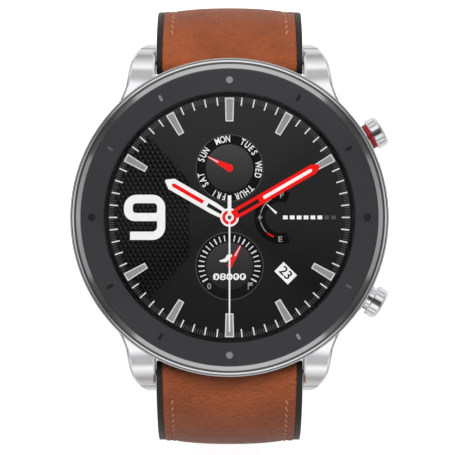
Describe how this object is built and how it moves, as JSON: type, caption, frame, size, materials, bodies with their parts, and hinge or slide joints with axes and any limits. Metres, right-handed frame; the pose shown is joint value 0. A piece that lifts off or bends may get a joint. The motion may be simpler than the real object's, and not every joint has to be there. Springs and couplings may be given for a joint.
{
  "type": "smartwatch",
  "caption": "Round steel smartwatch with a dark marked bezel, two radial push buttons and a brown leather and rubber strap with a pin buckle, strap open.",
  "frame": {"origin": "centre of the flat rear face of the sensor window, where it rests on the wrist", "axes": "+Z leaves the dial, +Y points to 12 o'clock, +X points to 3 o'clock"},
  "size_m": [0.0473, 0.0691, 0.0739],
  "materials": {
    "steel_polished": "polished stainless steel",
    "steel_brushed": "fine brushed stainless steel",
    "bezel_dark": "fine matte dark coating",
    "cover_glass": "polished, clear",
    "display": "smooth black display stack",
    "display_metal": "thin bare sheet",
    "flex": "polyimide film",
    "board": "solder mask",
    "black_plastic": "moulded, fine texture",
    "cell_wrap": "pouch cell foil",
    "back_plastic": "fine matte moulded",
    "sensor_glass": "dark tinted lens",
    "sensor_light": "moulded lamp packages",
    "gold": "gold plated contact",
    "magnet": "nickel plated",
    "gasket": "soft seal",
    "adhesive": "cured adhesive film",
    "spring_steel": "drawn wire",
    "red_ring": "dark red moulded ring",
    "strap_rubber": "smooth black elastomer",
    "strap_leather": "brown grained leather"
  },
  "bodies": {
    "case": {"case_middle": "steel_polished", "bezel_ring": "steel_polished", "bezel_adhesive": "adhesive", "bezel_insert": "bezel_dark", "cover_glass": "cover_glass", "glass_gasket": "gasket", "display_panel": "display", "display_frame": "display_metal", "display_flex": "flex", "button_switch_upper": "black_plastic", "button_switch_lower": "black_plastic", "inner_chassis": "black_plastic", "main_board": "board", "board_shield": "display_metal", "chassis_screws": "steel_brushed", "battery": "cell_wrap", "vibration_motor": "display_metal", "back_cover": "back_plastic", "charging_contacts": "gold", "charging_magnets": "magnet", "back_gasket": "gasket", "back_screws": "steel_brushed", "sensor_window": "sensor_glass", "sensor_board": "board", "sensor_leds": "sensor_light", "upper_pusher_sleeve": "steel_brushed", "upper_pusher_spring": "spring_steel", "lower_pusher_sleeve": "steel_brushed", "lower_pusher_spring": "spring_steel"},
    "upper_pusher": {"upper_pusher_cap": "steel_polished", "upper_pusher_clip": "spring_steel", "upper_pusher_seal": "gasket", "upper_pusher_ring": "red_ring"},
    "lower_pusher": {"lower_pusher_cap": "steel_polished", "lower_pusher_clip": "spring_steel", "lower_pusher_seal": "gasket"},
    "upper_strap": {"upper_strap_base": "strap_rubber", "upper_strap_leather": "strap_leather", "upper_spring_bar": "steel_brushed", "upper_release_spring": "spring_steel", "keeper_fixed": "strap_rubber"},
    "upper_release": {"upper_release_tip": "steel_brushed"},
    "lower_strap": {"lower_strap_base": "strap_rubber", "lower_strap_leather": "strap_leather", "lower_spring_bar": "steel_brushed", "lower_release_spring": "spring_steel"},
    "lower_release": {"lower_release_tip": "steel_brushed"},
    "loose_keeper": {"keeper_free": "strap_rubber"},
    "buckle": {"buckle_frame": "steel_polished", "buckle_bar": "steel_polished"},
    "tongue": {"buckle_tongue": "steel_polished"}
  },
  "joints": [
    {"name": "upper_pusher_press", "type": "slide", "parent": "case", "child": "upper_pusher", "axis": [-0.866, -0.5, 0], "range_m": [0, 0.00045], "stiffness_N_per_m": 2500, "springref_m": -0.0004, "deforming": ["upper_pusher_spring"]},
    {"name": "lower_pusher_press", "type": "slide", "parent": "case", "child": "lower_pusher", "axis": [-0.866, 0.5, 0], "range_m": [0, 0.00045], "stiffness_N_per_m": 2500, "springref_m": -0.0004, "deforming": ["lower_pusher_spring"]},
    {"name": "upper_strap_swing", "type": "hinge", "parent": "case", "child": "upper_strap", "pos_m": [0, 0.0234, 0.0033], "axis": [1, 0, 0], "range_deg": [0, 55]},
    {"name": "lower_strap_swing", "type": "hinge", "parent": "case", "child": "lower_strap", "pos_m": [0, -0.0234, 0.0033], "axis": [-1, 0, 0], "range_deg": [0, 55]},
    {"name": "upper_release_slide", "type": "slide", "parent": "upper_strap", "child": "upper_release", "axis": [1, 0, 0], "range_m": [0, 0.0015], "stiffness_N_per_m": 400, "springref_m": -0.002, "deforming": ["upper_release_spring"]},
    {"name": "lower_release_slide", "type": "slide", "parent": "lower_strap", "child": "lower_release", "axis": [1, 0, 0], "range_m": [0, 0.0015], "stiffness_N_per_m": 400, "springref_m": -0.002, "deforming": ["lower_release_spring"]},
    {"name": "keeper_slide", "type": "slide", "parent": "upper_strap", "child": "loose_keeper", "axis": [0, -0.1261, -0.992], "range_m": [-0.008, 0.0018]},
    {"name": "buckle_swing", "type": "hinge", "parent": "upper_strap", "child": "buckle", "pos_m": [0, 0.02593, -0.04823], "axis": [1, 0, 0], "range_deg": [-40, 25]},
    {"name": "tongue_lift", "type": "hinge", "parent": "buckle", "child": "tongue", "pos_m": [0, 0.02593, -0.04823], "axis": [1, 0, 0], "range_deg": [0, 95]}
  ]
}
